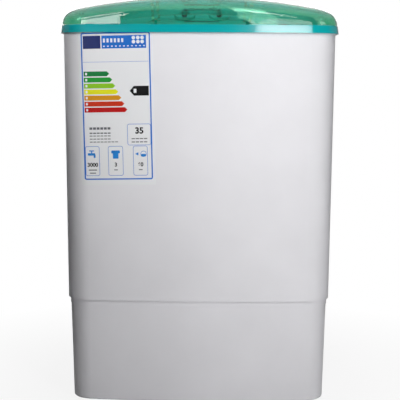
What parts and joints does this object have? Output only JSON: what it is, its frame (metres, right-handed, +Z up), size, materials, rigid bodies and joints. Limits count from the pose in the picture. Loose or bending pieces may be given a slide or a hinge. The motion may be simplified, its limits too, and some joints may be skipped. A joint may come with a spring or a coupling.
{
  "type": "compact washing machine",
  "caption": "Compact top-loading washing machine: rounded tapered cabinet, domed clear lid, wash tub with pulsator, drop-in spin basket and belt drive.",
  "frame": {"origin": "on the floor under the centre of the cabinet's box", "axes": "+X to the right seen from the front, +Y to the back, +Z up"},
  "size_m": [0.4154, 0.3659, 0.615],
  "materials": {
    "casing_white": "satin",
    "frame_turquoise": "gloss",
    "lid_clear_green": "gloss",
    "knob_navy": "satin",
    "inner_white": "satin",
    "inner_grey": "matte",
    "rubber_black": "matte",
    "steel": "satin",
    "zinc_plate": "satin",
    "aluminium_cast": "cast",
    "bronze_bush": "satin",
    "net_fabric": "mesh",
    "can_aluminium": "satin",
    "strap_nylon": "satin"
  },
  "bodies": {
    "cabinet": {"base": "casing_white", "feet": "rubber_black", "upper_casing": "casing_white", "top_frame": "frame_turquoise", "control_console": "frame_turquoise", "lid_buffers": "rubber_black", "wash_tub": "inner_white", "drain_grille": "inner_white", "bearing_housing": "aluminium_cast", "housing_bolts": "steel", "upper_bush": "bronze_bush", "lower_bush": "bronze_bush", "shaft_seal": "rubber_black", "drive_belt": "rubber_black", "motor_stator": "steel", "motor_end_bells": "aluminium_cast", "motor_bolts": "steel", "motor_bracket": "zinc_plate", "motor_grommets": "rubber_black", "bracket_screws": "steel", "drain_valve": "inner_grey", "tub_hose": "rubber_black", "back_cover": "casing_white", "back_cover_screws": "zinc_plate", "cord_gland": "inner_grey", "run_capacitor": "can_aluminium", "wash_timer": "inner_grey", "drain_switch": "inner_grey"},
    "lid": {"lid": "lid_clear_green", "lid_hinge_pins": "steel"},
    "drive": {"drive_shaft": "steel", "drive_pulley": "inner_grey", "pulley_nut": "steel", "pulsator": "frame_turquoise", "pulsator_cap": "inner_white"},
    "motor": {"motor_shaft": "steel", "motor_pulley": "aluminium_cast", "motor_rotor": "steel"},
    "basket": {"spin_basket": "inner_white", "balance_ring": "frame_turquoise"},
    "filter": {"lint_filter_frame": "frame_turquoise", "lint_filter_net": "net_fabric"},
    "timer": {"timer_knob_skirt": "frame_turquoise", "timer_knob_grip": "knob_navy", "timer_spindle": "steel"},
    "selector": {"drain_knob_skirt": "frame_turquoise", "drain_knob_grip": "knob_navy", "drain_spindle": "inner_grey"},
    "valve": {"valve_plunger": "rubber_black", "pull_strap": "strap_nylon"}
  },
  "joints": [
    {"name": "lid_hinge", "type": "hinge", "parent": "cabinet", "child": "lid", "pos_m": [0, 0.116, 0.5865], "axis": [-1, 0, 0], "range_deg": [0, 90]},
    {"name": "pulsator_spin", "type": "hinge", "parent": "cabinet", "child": "drive", "pos_m": [0, -0.018, 0.1], "axis": [0, 0, 1], "continuous": true},
    {"name": "motor_spin", "type": "hinge", "parent": "cabinet", "child": "motor", "pos_m": [0.1, 0.09, 0.09], "axis": [0, 0, 1], "continuous": true},
    {"name": "basket_lift", "type": "slide", "parent": "drive", "child": "basket", "axis": [0, 0, 1], "range_m": [0, 0.09]},
    {"name": "filter_lift", "type": "slide", "parent": "cabinet", "child": "filter", "axis": [0, 0, 1], "range_m": [0, 0.03]},
    {"name": "timer_turn", "type": "hinge", "parent": "cabinet", "child": "timer", "pos_m": [0.03, 0.14991, 0.59641], "axis": [0, 0.5658, -0.8245], "range_deg": [0, 300]},
    {"name": "selector_turn", "type": "hinge", "parent": "cabinet", "child": "selector", "pos_m": [-0.03, 0.14991, 0.59641], "axis": [0, 0.5658, -0.8245], "range_deg": [0, 90]},
    {"name": "valve_lift", "type": "slide", "parent": "cabinet", "child": "valve", "axis": [0, 0, 1], "range_m": [0, 0.008]}
  ],
  "couplings": [
    {"joint": "motor_spin", "follows": "pulsator_spin", "ratio": 3.6987},
    {"joint": "valve_lift", "follows": "selector_turn", "m_per_rad": 0.005093}
  ]
}
